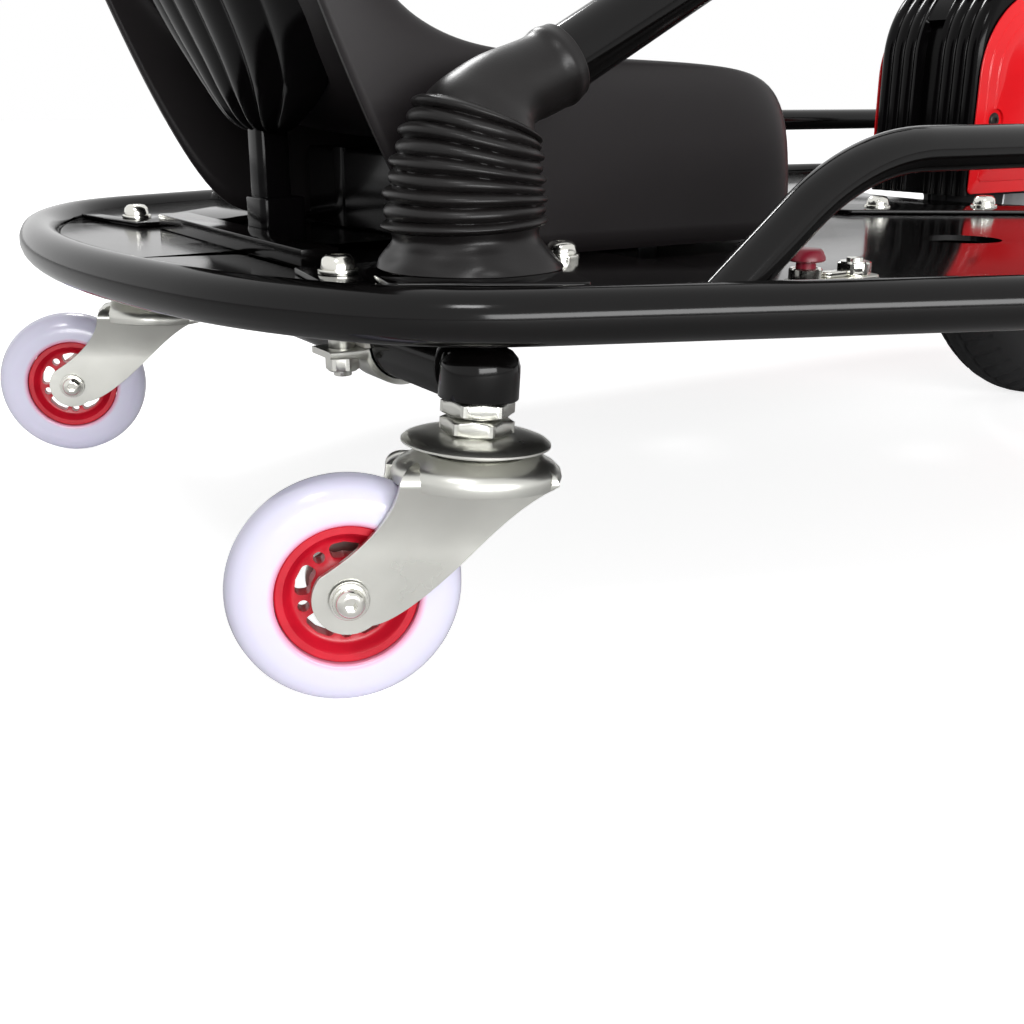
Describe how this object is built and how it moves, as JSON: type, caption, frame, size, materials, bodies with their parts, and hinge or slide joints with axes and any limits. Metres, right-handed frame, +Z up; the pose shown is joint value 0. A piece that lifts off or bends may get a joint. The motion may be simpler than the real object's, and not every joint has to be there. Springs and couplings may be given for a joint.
{
  "type": "electric drift kart",
  "caption": "Low electric kart with a bucket seat, a bent tube frame, a hub-motor front wheel under a cover, and rear casters tipped by a hand lever",
  "frame": {"origin": "on the floor, under the middle of the kart's length and width", "axes": "+X forward towards the drive wheel, +Y to the rider's left, +Z up"},
  "size_m": [1.07, 0.7202, 0.6169],
  "materials": {
    "gloss_black_paint": "glossy",
    "satin_black_moulding": "satin",
    "black_rubber": "matte",
    "black_plastic": "glossy",
    "zinc_plate": "satin",
    "bright_steel": "satin",
    "clear_urethane": "glossy",
    "red_nylon": "satin",
    "red_panel": "glossy",
    "dark_red_cap": "satin",
    "tyre_rubber": "matte",
    "cast_aluminium": "satin",
    "white_nylon": "matte"
  },
  "bodies": {
    "chassis": {"axle_saddle_left": "white_nylon", "axle_saddle_right": "white_nylon", "axle_stop": "black_rubber", "axle_strap_left": "zinc_plate", "axle_strap_right": "zinc_plate", "bar_boot": "black_rubber", "battery_pack": "black_plastic", "boot_clamp_plate": "gloss_black_paint", "column_bracket": "gloss_black_paint", "deck_plate": "gloss_black_paint", "drive_ring_plate": "gloss_black_paint", "frame_front_loop": "gloss_black_paint", "frame_rear_loop": "gloss_black_paint", "head_bush_lower": "white_nylon", "head_bush_upper": "white_nylon", "inner_rail_left": "gloss_black_paint", "inner_rail_right": "gloss_black_paint", "mid_cross_tube": "gloss_black_paint", "motor_controller": "cast_aluminium", "pedal_bracket": "gloss_black_paint", "rear_cross_tube": "gloss_black_paint", "reset_bracket": "zinc_plate", "seat": "satin_black_moulding", "seat_bracket": "gloss_black_paint", "seat_post": "satin_black_moulding", "side_plate_left": "gloss_black_paint", "side_plate_right": "gloss_black_paint", "side_rail_left": "gloss_black_paint", "side_rail_right": "gloss_black_paint", "steering_neck": "gloss_black_paint", "switch_box": "black_plastic"},
    "drift_lever": {"drift_axle": "gloss_black_paint", "drift_bar": "gloss_black_paint", "bar_grip": "black_rubber", "caster_race_left": "zinc_plate", "caster_race_right": "zinc_plate"},
    "caster_left": {"caster_fork_left": "zinc_plate", "caster_bolt_left": "zinc_plate"},
    "caster_right": {"caster_fork_right": "zinc_plate", "caster_bolt_right": "zinc_plate"},
    "caster_wheel_left": {"caster_core_left": "red_nylon", "caster_tyre_left": "clear_urethane"},
    "caster_wheel_right": {"caster_core_right": "red_nylon", "caster_tyre_right": "clear_urethane"},
    "drive_unit": {"drive_fork": "gloss_black_paint", "motor_shaft": "bright_steel", "wheel_cover": "black_plastic", "cover_panel_left": "red_panel", "cover_panel_right": "red_panel", "joint_cross": "bright_steel"},
    "drive_wheel": {"hub_motor": "cast_aluminium", "drive_tyre": "tyre_rubber"},
    "steering_column": {"steering_shaft": "bright_steel", "steering_spokes": "gloss_black_paint", "steering_rim": "black_rubber", "steering_pad": "black_plastic"},
    "accelerator": {"accelerator_pedal": "black_plastic"},
    "power_rocker": {"rocker_switch": "red_nylon"},
    "inlet_cap": {"charge_cap": "black_rubber"},
    "breaker_button": {"reset_button": "dark_red_cap"}
  },
  "joints": [
    {"name": "lever_pull", "type": "hinge", "parent": "chassis", "child": "drift_lever", "pos_m": [-0.4179, 0, 0.138], "axis": [0, -1, 0], "range_deg": [0, 25], "deforming": ["bar_boot"]},
    {"name": "caster_swivel_left", "type": "hinge", "parent": "drift_lever", "child": "caster_left", "pos_m": [-0.4179, 0.23, 0.138], "axis": [0.0698, 0, 0.9976], "continuous": true},
    {"name": "caster_spin_left", "type": "hinge", "parent": "caster_left", "child": "caster_wheel_left", "pos_m": [-0.47382, 0.24601, 0.049], "axis": [0.3066, 0.9516, -0.0214], "continuous": true},
    {"name": "caster_swivel_right", "type": "hinge", "parent": "drift_lever", "child": "caster_right", "pos_m": [-0.4179, -0.23, 0.138], "axis": [0.0698, 0, 0.9976], "continuous": true},
    {"name": "caster_spin_right", "type": "hinge", "parent": "caster_right", "child": "caster_wheel_right", "pos_m": [-0.47382, -0.21399, 0.049], "axis": [0.3066, 0.9516, -0.0214], "continuous": true},
    {"name": "drive_steer", "type": "hinge", "parent": "chassis", "child": "drive_unit", "pos_m": [0.2771, 0, 0.336], "axis": [0, 0, 1], "continuous": true},
    {"name": "drive_spin", "type": "hinge", "parent": "drive_unit", "child": "drive_wheel", "pos_m": [0.2771, 0, 0.159], "axis": [0, 1, 0], "continuous": true},
    {"name": "column_turn", "type": "hinge", "parent": "chassis", "child": "steering_column", "pos_m": [0.2771, 0, 0.393], "axis": [-0.7431, 0, 0.6691], "continuous": true},
    {"name": "pedal_press", "type": "hinge", "parent": "chassis", "child": "accelerator", "pos_m": [0.3421, -0.236, 0.179], "axis": [0, 1, 0], "range_deg": [0, 15], "stiffness_Nm_per_rad": 1.5, "springref_deg": -8.59},
    {"name": "rocker_tip", "type": "hinge", "parent": "chassis", "child": "power_rocker", "pos_m": [-0.1209, 0.144, 0.195], "axis": [1, 0, 0], "range_deg": [-12, 12]},
    {"name": "cap_lift", "type": "hinge", "parent": "chassis", "child": "inlet_cap", "pos_m": [-0.0819, 0.1525, 0.2035], "axis": [1, 0, 0], "range_deg": [0, 110]},
    {"name": "breaker_push", "type": "slide", "parent": "chassis", "child": "breaker_button", "axis": [0, 0, -1], "range_m": [0, 0.0022], "stiffness_N_per_m": 400, "springref_m": -0.001}
  ],
  "couplings": [
    {"joint": "column_turn", "follows": "drive_steer", "ratio": 1}
  ]
}
